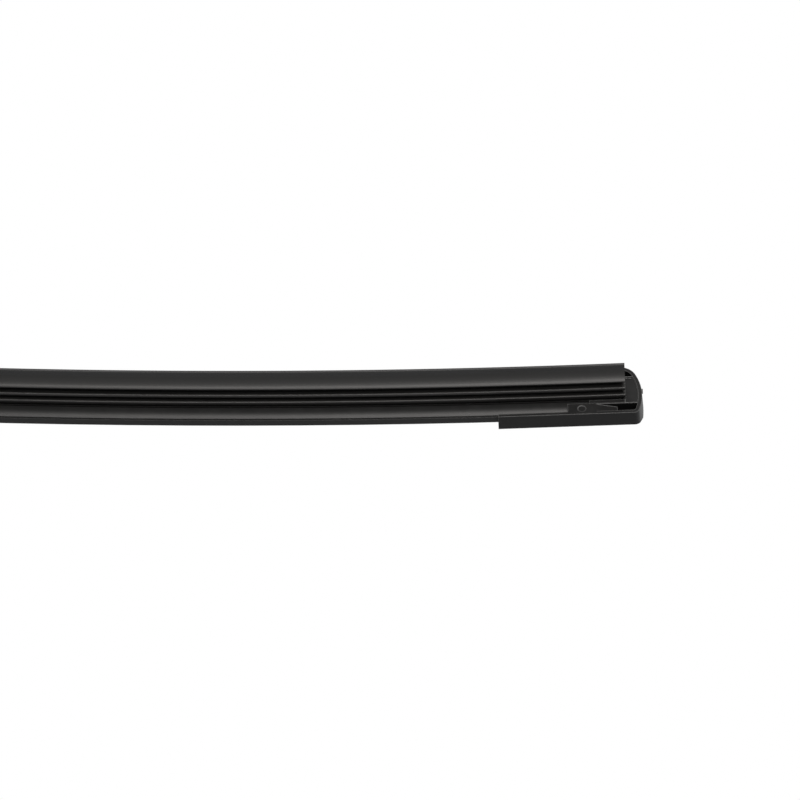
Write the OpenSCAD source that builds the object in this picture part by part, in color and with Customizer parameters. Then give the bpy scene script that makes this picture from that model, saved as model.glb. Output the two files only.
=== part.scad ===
// Flat-beam wiper blade for a car windscreen, in the position of use: wiping lip down, hook adaptor up.
// Millimetres. X along the blade, Y across it, Z up. The origin is on the pivot pin's axis.
// The cross-sections are drawn as (y, z) with z counted from the wiping lip's edge,
// then swept along the bow of the blade.

/* [Blade] */
// Overall length from end to end, measured along the lip
blade_length = 500; // [380:5:650]
// Radius of the free bow, measured at the lip
bow_radius = 2020; // [1400:20:4000]
// Height of the pivot pin above the lip
pin_height = 28; // [27.5:0.5:32]

/* [Wiping rubber] */
// Thickness of the lip at its edge
lip_thickness = 0.75; // [0.6:0.05:1.2]
// Straight height of the lip before it flares
lip_land = 1; // [0.6:0.1:1.6]
// Width over the shoulder of the lip
shoulder_width = 5.6; // [5:0.1:6]
// Height of the shoulder's outer edge above the lip
shoulder_z = 4.4; // [4:0.1:4.8]
// Thickness of the shoulder at its outer edge
shoulder_edge = 0.45; // [0.3:0.05:0.8]
// Thickness of the web that lets the lip tip over
tilt_web = 1.1; // [0.8:0.1:1.6]
// Width over the lower flange
lower_flange_width = 6.3; // [5.8:0.1:6.6]
// Height of the lower flange's underside above the lip
lower_flange_z = 6.65; // [6.2:0.05:6.8]
// Thickness of the lower flange at its edge
lower_flange_edge = 1; // [0.7:0.1:1.2]
// Width over the upper flange
upper_flange_width = 7.1; // [6.8:0.1:7.4]
// Height of the upper flange's underside above the lip
upper_flange_z = 9.05; // [8.8:0.05:9.2]
// Thickness of the upper flange at its edge
upper_flange_edge = 1.2; // [0.8:0.1:1.3]
// Width of the neck between the flanges and the head
neck_width = 3.2; // [2.6:0.1:4]
// Width of the head that the rails grip
head_width = 6.8; // [6.2:0.1:7]
// Height of the head above the rails
head_cap = 1; // [0.8:0.1:1.2]
// Distance from the end of the rubber to the end of the blade
rubber_end_inset = 5.4; // [5:0.1:6]

/* [Spring rails] */
// Width of each steel rail
rail_width = 4.6; // [4:0.1:4.6]
// Thickness of each steel rail
rail_thickness = 0.9; // [0.7:0.05:0.95]
// Width of rubber between the two rails
rail_spacing = 5.2; // [4.6:0.1:5.2]
// Height of the rails' underside above the lip
rail_z = 12.2; // [12.1:0.05:12.3]
// Distance from the end of a rail to the end of the blade
rail_end_inset = 8.4; // [8:0.1:9]
// Clearance round the rails and the rubber's head
fit_gap = 0.1; // [0.05:0.01:0.15]

/* [Spoiler] */
// Width over the spoiler's claws
spoiler_width = 16.6; // [16.2:0.1:17]
// Height of the lowest line of the claws above the lip
claw_z = 10.9; // [10.8:0.05:11.3]
// Radius of the claws' curved underside
claw_radius = 5.8; // [5:0.1:9]
// Distance of the claws' lowest line from the middle plane
claw_crown_y = 5.2; // [4.8:0.1:6]
// Step in from the side strip to the claws
strip_step = 0.45; // [0.3:0.05:0.6]
// Height of the side strip's underside above the lip
strip_z = 11.9; // [11.6:0.05:12]
// Width of the opening between the claws
claw_opening = 7.6; // [7.4:0.1:8]
// Height of the spoiler's side strip top above the lip
spoiler_side_z = 13.85; // [13.7:0.05:14]
// Height above the lip where the fin's rounded tip starts
spoiler_fin_z = 22; // [20:0.1:22.4]
// Distance from the spoiler's outer end to the end of the blade
spoiler_end_inset = 16; // [15.5:0.1:18]

/* [End cap] */
// Length of the cap
cap_length = 42.4; // [36:0.1:48]
// Width over the cap
cap_width = 19; // [18.6:0.1:19.4]
// Height of the cap's rim above the lip
cap_rim_z = 10.45; // [10.35:0.05:10.6]
// Height of the cap's side wall top above the lip
cap_side_z = 15.4; // [15:0.1:16]
// Height above the lip where the cap's rounded ridge starts
cap_fin_z = 22.6; // [22.4:0.1:23.5]
// Plan radius of the crowned end face
crown_radius = 20.5; // [16:0.5:30]
// Distance of the crown's peak from the middle plane, towards the front
crown_offset = 1.7; // [0:0.1:2.5]
// Plan radius of the end's front corner
front_corner_radius = 1.9; // [1.6:0.1:3]
// Plan radius of the end's rear corner
rear_corner_radius = 5.2; // [3:0.1:6]
// Outward lean of the end face in degrees
end_lean = 4; // [2:0.5:8]
// Radius of the nose in side view
nose_radius = 9; // [6:0.5:9.5]
// Length of the cover plate under the claws, up to the end
plate_length = 22.2; // [20:0.1:24]
// Width of the opening that the rubber comes out of
plate_opening = 10.2; // [9.8:0.1:10.6]
// Length of each mould slot from its point to the end
slot_length = 14; // [12.5:0.1:15]
// Width of each mould slot
slot_width = 3.3; // [2.8:0.1:3.4]
// Thickness of the rib between a slot and the rubber's opening
rib_thickness = 0.4; // [0.3:0.05:0.5]
// Depth that a slot reaches on its slope
slot_depth = 1.5; // [1:0.1:1.6]
// Depth of a slot past the end of the rails
slot_deep = 3.2; // [2:0.1:3.6]
// Width of the rim left round the end
end_rim = 1.1; // [0.8:0.1:1.4]
// Depth of the end block's face below the rim
block_recess = 0.45; // [0.2:0.05:0.8]
// Diameter of the ejector pin marks on the cover plate
ejector_diameter = 2.4; // [1.6:0.1:2.6]
// Depth of the ejector pin marks
ejector_depth = 0.15; // [0.1:0.05:0.3]
// Diameter of the moulding gate mark on the end face
gate_diameter = 1.5; // [1:0.1:2]
// Distance of the moulding gate mark from the rim
gate_margin = 0.15; // [0.1:0.05:0.4]
// Height of the moulding gate mark
gate_height = 0.3; // [0.2:0.1:0.5]

/* [Connector] */
// Length of the steel bracket along the rails
bracket_length = 56; // [50:1:60]
// Sheet thickness of the bracket
bracket_sheet = 1.2; // [1:0.1:1.3]
// Length of each crimped tab under a rail
tab_length = 9; // [7:0.5:11]
// Length of the bracket's cheeks at their foot
cheek_foot = 34; // [30:1:36]
// Outer radius of a cheek round the pin
cheek_radius = 5.2; // [4.6:0.1:5.6]
// Length of the moulded cover along the blade
cover_length = 86; // [80:1:96]
// Length of each socket that holds a spoiler end
socket_length = 9; // [7:0.5:11]
// Radius of the hollow curve from the deck up to the fins
valley_radius = 10; // [9:0.5:11]
// Wall thickness of the cover beside the bracket
cover_wall = 1.4; // [1.2:0.1:1.8]
// Thickness of the cover's deck over the bracket
deck_thickness = 1.2; // [1:0.1:1.6]

/* [Pivot pin] */
// Diameter of the pin
pin_diameter = 5; // [4:0.1:5.4]
// Diameter of the pin's heads
pin_head_diameter = 7.4; // [6.4:0.1:8]
// Thickness of each head
pin_head_height = 0.9; // [0.6:0.1:1.2]
// Radial clearance between the pin and the adaptor
pin_running_gap = 0.05; // [0.02:0.01:0.08]

/* [Hook adaptor] */
// Width of the channel for the arm's hook
hook_width = 9.3; // [9.1:0.1:9.6]
// Thickness of the arm's hook that the channel takes
hook_thickness = 4; // [3:0.5:4]
// Diameter of the hub that the hook goes round
hub_diameter = 8.6; // [8.2:0.1:9.2]
// Width over the adaptor's side plates
adaptor_width = 14; // [13.4:0.1:14.2]
// Length of the adaptor behind the pin, where the arm comes in
adaptor_rear = 20; // [18:1:22]
// Length of the adaptor in front of the pin
adaptor_front = 24; // [22:1:26]
// Radius of the adaptor's crowned back in side view
back_radius = 70; // [60:5:120]
// Radius of the grip grooves on its press pad
grip_radius = 0.5; // [0.3:0.1:0.6]
// Width of the opening that snaps over the pin
snap_opening = 4; // [3.6:0.1:4.4]
// Rocking angle each way that the adaptor is shaped for
rock_angle = 15; // [10:1:16]

/* [Hidden] */

big = 60;
eps = 0.05;
over = 1;
end_s = blade_length / 2;
rubber_end = end_s - rubber_end_inset;
rail_end = end_s - rail_end_inset;
spoiler_end = end_s - spoiler_end_inset;
cap_start = end_s - cap_length;
plate_start = end_s - plate_length;
lean_shift = (cap_side_z - cap_rim_z) * tan(end_lean) + eps;
slot_inner_y = plate_opening / 2 + rib_thickness;
ejector_x = -(slot_length + plate_length) / 2;
ejector_y = slot_inner_y + slot_width / 2;
slot_step_margin = 0.7;
slot_step_x = -rail_end_inset + slot_step_margin;
claw_edge_y = spoiler_width / 2 - strip_step;
claw_rise = claw_radius - sqrt(claw_radius ^ 2 - (claw_edge_y - claw_crown_y) ^ 2);

// Slopes and chamfers of the rubber's section
shoulder_rise = 0.5;
flange_rise = 0.3;
flange_chamfer = 0.1;

rail_inner_y = rail_spacing / 2;
rail_outer_y = rail_inner_y + rail_width;
rail_top_z = rail_z + rail_thickness;
head_bottom_z = claw_z + eps;
head_top_z = rail_top_z + fit_gap + head_cap;
channel_half_width = head_width / 2 + 2 * fit_gap;
channel_top_z = head_top_z + fit_gap;

// Fin outlines: slope in degrees at the foot of the front and the rear face,
// and where the two faces reach the height at which the rounded tip starts
front_slope = 12;
rear_slope = 35;
spoiler_fin_front_y = -1.6;
spoiler_fin_rear_y = -2.5;
cap_fin_front_y = -0.3;
cap_fin_rear_y = -3.8;
// Extra that a fin's outline has before its hollow faces are cut
fin_spare = 1.5;
// The spoiler's inner chamber: height of its floor, and how far it reaches up into the fin
chamber_z = 15.6;
chamber_rise = 3.3;

bracket_inner_y = rail_outer_y + fit_gap / 2;
bracket_outer_y = bracket_inner_y + bracket_sheet;
bracket_floor_z = channel_top_z;
bracket_top_z = bracket_floor_z + bracket_sheet;
cover_half_width = bracket_outer_y + fit_gap + cover_wall;
deck_top_z = bracket_top_z + fit_gap + deck_thickness;
deck_chamfer = 0.8;
spoiler_start = cover_length / 2 - socket_length + fit_gap;
pin_r = pin_diameter / 2;
hub_r = hub_diameter / 2;
hook_r = hub_r + hook_thickness;

// The adaptor's side view: crowned back, rounded ends, and a belly that is flat under the pin
adaptor_top = hook_r + 0.3;
back_peak_x = -6;
nose_r = 2.6;
heel_r = 2;
belly_x = 4;
rock_clearance = 0.25;
rear_floor_z = -hub_r + 1.3;
bridge_x = hook_r + 6;
latch_x = hook_r + 0.5;
latch_height = 2;
latch_width = 0.6 * hook_width;
grip_x = hook_r + 8.3;
grip_pitch = 2.5;

// Centre of the circle that leaves p at the slope, curves upwards and ends at q.
// side is 1 for the front face and -1 for the rear face.
function face_normal(slope, side) = [side * sin(slope), cos(slope)];
function face_radius(p, q, slope, side) = norm(q - p) ^ 2 / (2 * (q - p) * face_normal(slope, side));
function face_centre(p, q, slope, side) = p + face_radius(p, q, slope, side) * face_normal(slope, side);

// Angle at which a line from the point p touches the circle of radius r round the origin
function touch_angle(p, r) = atan2(p[1], p[0]) + acos(r / norm(p));

// Sweeps a section along the bow, between two places measured along the lip from the middle
module sweep(from, to) {
    start_angle = from / bow_radius * 180 / PI;
    end_angle = to / bow_radius * 180 / PI;
    translate([0, 0, -pin_height - bow_radius])
        rotate([90, 0, 0])
            rotate_extrude(start = 90 - end_angle, angle = end_angle - start_angle, $fn = 720)
                translate([bow_radius, 0])
                    rotate(-90)
                        children();
}

// Puts a shape at a place along the bow: its x along the blade, its z counted from the lip
module at_arc(s) {
    translate([0, 0, -pin_height - bow_radius])
        rotate([0, s / bow_radius * 180 / PI, 0])
            translate([0, 0, bow_radius])
                children();
}

// Puts a shape in the frame of the end cap, which is a straight moulding: x = 0 at the blade's end
module at_cap() {
    at_arc(end_s - cap_length / 2)
        translate([cap_length / 2, 0, 0])
            children();
}

// Extrudes a side view, drawn as (x, z), across the width from one y to another
module across(from, to) {
    translate([0, to, 0])
        rotate([90, 0, 0])
            linear_extrude(to - from)
                children();
}

// A section rectangle that is centred on the middle plane
module centred_band(half_width, low_z, high_z) {
    translate([-half_width, low_z])
        square([2 * half_width, high_z - low_z]);
}

// Solid outline of a fin on a base: straight sides, two hollow-curved faces and a rounded tip
module fin_outline(half_width, low_z, side_z, fin_z, front_y, rear_y) {
    front_foot = [half_width, side_z];
    rear_foot = [-half_width, side_z];
    front_tip = [front_y, fin_z];
    rear_tip = [rear_y, fin_z];
    difference() {
        polygon([
            [-half_width, low_z], [half_width, low_z], [half_width, side_z + fin_spare],
            [front_y + fin_spare, fin_z], [rear_y - fin_spare, fin_z], [-half_width, side_z + fin_spare]
        ]);
        translate(face_centre(front_foot, front_tip, front_slope, 1))
            circle(r = face_radius(front_foot, front_tip, front_slope, 1), $fn = 128);
        translate(face_centre(rear_foot, rear_tip, rear_slope, -1))
            circle(r = face_radius(rear_foot, rear_tip, rear_slope, -1), $fn = 128);
    }
    translate([(front_y + rear_y) / 2, fin_z])
        circle(d = front_y - rear_y, $fn = 48);
}

module spoiler_outline(grow) {
    fin_outline(
        spoiler_width / 2 + grow, claw_z - grow, spoiler_side_z + grow, spoiler_fin_z,
        spoiler_fin_front_y + grow, spoiler_fin_rear_y - grow
    );
}

module cap_outline() {
    fin_outline(cap_width / 2, cap_rim_z, cap_side_z, cap_fin_z, cap_fin_front_y, cap_fin_rear_y);
}

// The hollow that the two rails and the rubber's head need inside a carrier
module rail_channel() {
    centred_band(rail_outer_y + fit_gap, rail_z - fit_gap, rail_top_z + fit_gap);
    centred_band(channel_half_width, rail_z - fit_gap, channel_top_z);
}

module rubber_section() {
    half_lip = lip_thickness / 2;
    half_shoulder = shoulder_width / 2;
    shoulder_top_z = shoulder_z + shoulder_edge + shoulder_rise;
    flare = [half_shoulder - half_lip, shoulder_z - lip_land];
    flare_r = (flare[0] ^ 2 + flare[1] ^ 2) / (2 * flare[0]);
    difference() {
        polygon([
            [-half_lip, 0], [half_lip, 0], [half_lip, lip_land], [half_shoulder, lip_land],
            [half_shoulder, shoulder_z + shoulder_edge], [tilt_web / 2, shoulder_top_z],
            [-tilt_web / 2, shoulder_top_z], [-half_shoulder, shoulder_z + shoulder_edge],
            [-half_shoulder, lip_land], [-half_lip, lip_land]
        ]);
        for (side = [-1, 1])
            translate([side * (half_lip + flare_r), lip_land])
                circle(r = flare_r, $fn = 96);
    }
    centred_band(tilt_web / 2, shoulder_z, upper_flange_z + eps);
    flange(lower_flange_width / 2, lower_flange_z, lower_flange_edge, tilt_web / 2);
    flange(upper_flange_width / 2, upper_flange_z, upper_flange_edge, neck_width / 2);
    centred_band(neck_width / 2, upper_flange_z + eps, rail_top_z);
    centred_band(head_width / 2, head_bottom_z, rail_z - fit_gap / 2);
    centred_band(rail_inner_y - fit_gap / 2, head_bottom_z, head_top_z);
    centred_band(head_width / 2, rail_top_z + fit_gap / 2, head_top_z);
}

// A flange with a flat underside and a top that slopes down to its edge
module flange(half_width, low_z, edge, foot) {
    polygon([
        [-half_width, low_z + flange_chamfer], [-half_width + flange_chamfer, low_z],
        [half_width - flange_chamfer, low_z], [half_width, low_z + flange_chamfer],
        [half_width, low_z + edge], [foot, low_z + edge + flange_rise],
        [-foot, low_z + edge + flange_rise], [-half_width, low_z + edge]
    ]);
}

module wiping_rubber() {
    color([0.04, 0.04, 0.04])
        sweep(-rubber_end, rubber_end)
            rubber_section();
}

module rail(side) {
    color([0.1, 0.1, 0.11])
        sweep(-rail_end, rail_end)
            translate([side > 0 ? rail_inner_y : -rail_outer_y, rail_z])
                square([rail_width, rail_thickness]);
}

module rail_front() {
    rail(1);
}

module rail_rear() {
    rail(-1);
}

// What is cut from under the claw on the front side: a curved underside, and the step to the side strip
module claw_underside() {
    difference() {
        translate([0, claw_z - over])
            square([claw_edge_y, over + claw_rise + eps]);
        translate([claw_crown_y, claw_z + claw_radius])
            circle(r = claw_radius, $fn = 128);
    }
    translate([claw_edge_y, claw_z - over])
        square([strip_step + over, strip_z - claw_z + over]);
}

module spoiler_section() {
    difference() {
        spoiler_outline(0);
        rail_channel();
        centred_band(claw_opening / 2, claw_z - over, rail_z);
        claw_underside();
        mirror([1, 0])
            claw_underside();
        translate([0, chamber_z])
            polygon([
                [4.4, 0], [1.4, 0.9], [-1.2, chamber_rise], [-2.5, chamber_rise], [-4.3, 1], [-4.9, 0]
            ]);
    }
}

module spoiler_right() {
    color([0.06, 0.06, 0.06])
        sweep(spoiler_start, spoiler_end)
            spoiler_section();
}

module spoiler_left() {
    mirror([1, 0, 0])
        spoiler_right();
}

// Centre of a corner of the end's plan, seen from the centre of the crown: it touches the crown and the side
function corner_centre(y, r) = [sqrt((crown_radius - r) ^ 2 - (y - crown_offset) ^ 2), y - crown_offset];

// Plan outline of the cap's end, with x = 0 at its tip, made smaller by an inset
module end_plan(inset) {
    half = cap_width / 2 - inset;
    front = corner_centre(cap_width / 2 - front_corner_radius, front_corner_radius);
    rear = corner_centre(-cap_width / 2 + rear_corner_radius, rear_corner_radius);
    translate([-crown_radius, crown_offset]) {
        intersection() {
            circle(r = crown_radius - inset, $fn = 200);
            polygon([[0, 0], 2 * rear, 2 * front]);
        }
        translate(front)
            circle(r = front_corner_radius - inset, $fn = 64);
        translate(rear)
            circle(r = rear_corner_radius - inset, $fn = 64);
        polygon([
            [-big, -half - crown_offset], [rear[0], -half - crown_offset], rear, front,
            [front[0], half - crown_offset], [-big, half - crown_offset]
        ]);
    }
}

// The end plan at the height of the rim
module rim_plan(inset) {
    translate([-lean_shift, 0])
        end_plan(inset);
}

// The end plan as a block that leans outwards from the rim upwards. Its sides stand a little proud of
// the cap's, so that only the crown and the corners cut the cap.
module end_block() {
    translate([0, 0, cap_rim_z])
        rotate([0, end_lean, 0])
            translate([-eps, 0, -cap_rim_z])
                linear_extrude(big)
                    rim_plan(-eps);
}

// Side view of the cap's end: upright up to the side walls' top, then a round nose
module nose_view() {
    translate([-big, cap_rim_z - over])
        square([big + over, cap_side_z - cap_rim_z + over]);
    translate([-big, cap_side_z - eps])
        square([big - nose_radius, big]);
    translate([-nose_radius, cap_side_z])
        circle(r = nose_radius, $fn = 128);
}

// One slot in the underside: it starts as a point, slopes in under the rails and is deep past their end
module slot_view() {
    polygon([
        [-slot_length, cap_rim_z], [slot_step_x, cap_rim_z + slot_depth],
        [slot_step_x, cap_rim_z + slot_deep], [over, cap_rim_z + slot_deep],
        [over, cap_rim_z - over], [-slot_length, cap_rim_z - over]
    ]);
}

module end_cap_right() {
    color([0.07, 0.07, 0.07])
        difference() {
            union() {
                at_cap()
                    intersection() {
                        translate([-cap_length, 0, 0])
                            rotate([90, 0, 90])
                                linear_extrude(cap_length + over)
                                    cap_outline();
                        end_block();
                        across(-big, big)
                            nose_view();
                    }
                at_cap()
                    translate([-end_rim, 0, cap_rim_z + gate_diameter / 2 + gate_margin])
                        rotate([0, 90, 0])
                            cylinder(h = end_rim - lean_shift + gate_height, d = gate_diameter, $fn = 32);
            }
            // room for the spoiler, open underneath as far as the cover plate
            sweep(cap_start - over, spoiler_end + fit_gap)
                spoiler_outline(fit_gap);
            sweep(cap_start - over, plate_start)
                centred_band(spoiler_width / 2 + fit_gap, cap_rim_z - over, claw_z);
            // room for the rails and the rubber
            sweep(cap_start - over, rail_end + fit_gap)
                centred_band(rail_outer_y + fit_gap, rail_z - fit_gap, rail_top_z + fit_gap);
            sweep(cap_start - over, rubber_end + fit_gap)
                centred_band(channel_half_width, cap_rim_z, channel_top_z);
            sweep(cap_start - over, rubber_end + fit_gap)
                centred_band(plate_opening / 2, cap_rim_z - over, claw_z - fit_gap);
            // slots and recessed end block
            at_cap() {
                for (side = [-1, 1]) {
                    inner = side > 0 ? slot_inner_y : -slot_inner_y - slot_width;
                    intersection() {
                        across(inner, inner + slot_width)
                            slot_view();
                        translate([0, 0, cap_rim_z - 2 * over])
                            linear_extrude(slot_deep + 4 * over)
                                rim_plan(end_rim);
                    }
                }
                for (side = [-1, 1])
                    translate([ejector_x, side * ejector_y, cap_rim_z - over])
                        cylinder(h = over + ejector_depth, d = ejector_diameter, $fn = 48);
                translate([0, 0, cap_rim_z - over])
                    linear_extrude(over + block_recess)
                        intersection() {
                            rim_plan(end_rim);
                            translate([-rubber_end_inset, -plate_opening / 2 - fit_gap])
                                square([rubber_end_inset, plate_opening + 2 * fit_gap]);
                        }
            }
        }
}

module end_cap_left() {
    mirror([1, 0, 0])
        end_cap_right();
}

// Side view of a cheek, with the pin at the origin: a round head on a tapered foot
module cheek_view(grow) {
    foot_z = bracket_floor_z - pin_height;
    foot = [cheek_foot / 2 + grow, foot_z];
    r = cheek_radius + grow;
    angle = touch_angle(foot, r);
    touch = r * [cos(angle), sin(angle)];
    circle(r = r, $fn = 96);
    polygon([[-foot[0], foot_z], foot, touch, [0, 0], [-touch[0], touch[1]]]);
}

module rail_bracket() {
    half = bracket_length / 2;
    color([0.2, 0.2, 0.21])
        difference() {
            union() {
                sweep(-half, half)
                    difference() {
                        centred_band(bracket_outer_y, claw_z + eps, bracket_top_z);
                        centred_band(bracket_inner_y, claw_z, bracket_floor_z);
                    }
                for (side = [-1, 1]) {
                    tab_start = side > 0 ? half - tab_length : -half;
                    sweep(tab_start, tab_start + tab_length)
                        difference() {
                            centred_band(bracket_outer_y - eps, claw_z + eps, rail_z - fit_gap / 2);
                            centred_band(claw_opening / 2, claw_z - over, rail_z);
                        }
                    inner = side > 0 ? bracket_inner_y : -bracket_outer_y;
                    across(inner, inner + bracket_sheet)
                        cheek_view(0);
                }
            }
            across(-big, big)
                circle(r = pin_r, $fn = 64);
        }
}

// Side view of the valley over the cover's deck: flat in the middle, hollow-curved up to the fins
module valley_view() {
    floor_z = deck_top_z - pin_height;
    flat_half = cover_length / 2 - socket_length - valley_radius;
    translate([-flat_half, floor_z])
        square([2 * flat_half, big]);
    for (side = [-1, 1])
        translate([side * flat_half, floor_z + valley_radius])
            circle(r = valley_radius, $fn = 128);
}

module connector_cover() {
    half = cover_length / 2;
    bracket_half = bracket_length / 2;
    shroud_inner = bracket_outer_y + fit_gap;
    color([0.07, 0.07, 0.07])
        difference() {
            union() {
                sweep(-half, half)
                    polygon([
                        [-cover_half_width, cap_rim_z], [cover_half_width, cap_rim_z],
                        [cover_half_width, deck_top_z - deck_chamfer],
                        [cover_half_width - deck_chamfer, deck_top_z],
                        [-cover_half_width + deck_chamfer, deck_top_z],
                        [-cover_half_width, deck_top_z - deck_chamfer]
                    ]);
                difference() {
                    sweep(-half, half)
                        fin_outline(cover_half_width, cap_rim_z, cap_side_z, cap_fin_z,
                                    cap_fin_front_y, cap_fin_rear_y);
                    across(-big, big)
                        valley_view();
                }
                for (side = [-1, 1]) {
                    inner = side > 0 ? shroud_inner : -cover_half_width;
                    across(inner, inner + cover_wall)
                        cheek_view(cover_wall);
                }
            }
            // bracket, with the slits that its cheeks stand in
            sweep(-bracket_half - fit_gap, bracket_half + fit_gap)
                centred_band(shroud_inner, cap_rim_z - over, bracket_top_z + fit_gap);
            for (side = [-1, 1]) {
                slit = side > 0 ? bracket_inner_y - fit_gap : -bracket_outer_y - fit_gap;
                across(slit, slit + bracket_sheet + 2 * fit_gap)
                    cheek_view(fit_gap);
            }
            // rails, rubber and the ends of the spoiler
            sweep(-half - over, half + over)
                rail_channel();
            sweep(-half - over, half + over)
                centred_band(claw_opening / 2, cap_rim_z - over, rail_z);
            for (side = [-1, 1]) {
                inner_end = half - socket_length;
                sweep(side > 0 ? inner_end : -half - over, side > 0 ? half + over : -inner_end) {
                    spoiler_outline(fit_gap);
                    centred_band(plate_opening / 2, cap_rim_z - over, claw_z);
                }
            }
            // pin heads
            across(-big, big)
                circle(d = pin_head_diameter + 4 * fit_gap, $fn = 64);
        }
}

module pivot_pin() {
    color([0.6, 0.6, 0.62]) {
        across(-bracket_outer_y - eps, bracket_outer_y + eps)
            circle(r = pin_r, $fn = 64);
        for (side = [-1, 1]) {
            inner = side > 0 ? bracket_outer_y : -bracket_outer_y - pin_head_height;
            across(inner, inner + pin_head_height)
                circle(d = pin_head_diameter, $fn = 64);
        }
    }
}

// Depth that the adaptor may have at a distance from the pin and still rock freely over the deck
function rock_depth(x) =
    (pin_height - deck_top_z - rock_clearance - x * sin(rock_angle)) / cos(rock_angle);

// Height of the adaptor's crowned back at a distance in front of the pin
function back_z(x) = adaptor_top - back_radius + sqrt(back_radius ^ 2 - (x - back_peak_x) ^ 2);

// Side view of the adaptor's plates, with the pin at the origin
module plate_view() {
    nose_x = adaptor_front - nose_r;
    nose_z = back_z(nose_x) - nose_r;
    heel_x = -adaptor_rear + heel_r;
    heel_z = back_z(heel_x) - heel_r;
    intersection() {
        polygon([
            [-adaptor_rear, -rock_depth(adaptor_rear)], [-belly_x, -rock_depth(belly_x)],
            [belly_x, -rock_depth(belly_x)], [adaptor_front, -rock_depth(adaptor_front)],
            [adaptor_front, nose_z], [nose_x, nose_z], [nose_x, big], [heel_x, big],
            [heel_x, heel_z], [-adaptor_rear, heel_z]
        ]);
        translate([back_peak_x, adaptor_top - back_radius])
            circle(r = back_radius, $fn = 256);
    }
    translate([nose_x, nose_z])
        circle(r = nose_r, $fn = 64);
    translate([heel_x, heel_z])
        circle(r = heel_r, $fn = 64);
}

module hook_adaptor() {
    half = adaptor_width / 2;
    channel = hook_width / 2;
    color([0.08, 0.08, 0.08])
        difference() {
            union() {
                across(channel, half)
                    plate_view();
                across(-half, -channel)
                    plate_view();
                across(-channel - eps, channel + eps)
                    circle(r = hub_r, $fn = 96);
                // front bridge with the latch finger that stops the hook
                across(-channel - eps, channel + eps)
                    intersection() {
                        plate_view();
                        translate([bridge_x, -big])
                            square([big, 2 * big]);
                    }
                across(-latch_width / 2, latch_width / 2)
                    translate([latch_x, -latch_height / 2])
                        square([bridge_x - latch_x + eps, latch_height]);
                // rear floor between the plates
                across(-channel - eps, channel + eps)
                    intersection() {
                        plate_view();
                        translate([-adaptor_rear, -big])
                            square([adaptor_rear - hook_r - 1, big + rear_floor_z]);
                    }
            }
            // grip grooves across the press pad
            across(-channel, channel)
                for (place = [0, 1, 2]) {
                    groove_x = grip_x + place * grip_pitch;
                    translate([groove_x, back_z(groove_x)])
                        circle(r = grip_radius, $fn = 32);
                }
            // pin bore, open below so that the adaptor snaps on
            across(-big, big)
                circle(r = pin_r + pin_running_gap, $fn = 64);
            across(-big, big)
                translate([-snap_opening / 2, -big])
                    square([snap_opening, big]);
        }
}

wiping_rubber();
rail_front();
rail_rear();
spoiler_left();
spoiler_right();
end_cap_left();
end_cap_right();
rail_bracket();
connector_cover();
pivot_pin();
hook_adaptor();
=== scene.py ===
"""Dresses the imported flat-beam wiper blade and stands it in a plain studio.

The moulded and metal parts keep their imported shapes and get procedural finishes. The wiping
rubber is soft, so it is drawn again here with its rounded edges. Lengths are metres in the
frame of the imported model: +X along the blade, +Z up from the wiping lip.
"""

import logging
import math
from dataclasses import dataclass, field
from enum import Enum

import bmesh
import bpy
from mathutils import Matrix, Vector


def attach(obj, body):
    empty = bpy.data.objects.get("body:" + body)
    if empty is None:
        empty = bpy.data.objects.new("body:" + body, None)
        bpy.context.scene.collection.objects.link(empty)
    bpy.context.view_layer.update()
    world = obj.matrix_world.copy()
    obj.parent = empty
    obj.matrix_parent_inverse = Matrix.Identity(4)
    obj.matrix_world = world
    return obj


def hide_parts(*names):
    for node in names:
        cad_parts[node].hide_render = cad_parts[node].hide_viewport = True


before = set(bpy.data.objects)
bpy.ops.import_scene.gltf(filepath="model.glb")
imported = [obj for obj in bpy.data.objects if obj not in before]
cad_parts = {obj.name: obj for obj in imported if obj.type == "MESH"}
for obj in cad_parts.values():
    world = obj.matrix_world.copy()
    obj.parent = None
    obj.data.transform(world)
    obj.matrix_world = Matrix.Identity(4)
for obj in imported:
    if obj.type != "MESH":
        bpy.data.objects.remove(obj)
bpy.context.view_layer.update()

log = logging.getLogger("wiper_blade")

MM = 0.001
PHOTO_PIXELS = 800

# A noise mostly stays between these values, so most ramps on one run between them.
NOISE_LOW = 0.3
CLOUD_LOW = 0.35
NOISE_HIGH = 0.7

Colour = tuple[float, float, float]
Point = tuple[float, float]
Corner = tuple[float, float, float]


class Lay(Enum):
    """How a noise pattern lies in the blade's own coordinates."""

    EVEN = (1.0, 1.0, 1.0)
    DRAWN = (0.006, 1.0, 1.0)


@dataclass(frozen=True)
class Bow:
    """The free bow of the blade, an arc in the X-Z plane.

    Attributes:
        radius: Radius of the wiping lip's edge.
        pin_height: Height of the pivot pin, which is the origin, above the lip's edge.
    """

    radius: float = 2.020
    pin_height: float = 0.028

    @property
    def drop(self) -> float:
        """Depth of the arc's centre below the origin."""
        return self.radius + self.pin_height

    def place(self, along: float, across: float, height: float) -> Vector:
        """Turns blade coordinates into a point of the frame.

        Args:
            along: Distance from the blade's middle, measured along the lip.
            across: Distance from the blade's middle plane.
            height: Height above the lip's edge, square to the bow.

        Returns:
            The point in the frame.
        """
        angle = along / self.radius
        reach = self.radius + height
        return Vector((reach * math.sin(angle), across, reach * math.cos(angle) - self.drop))


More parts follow.
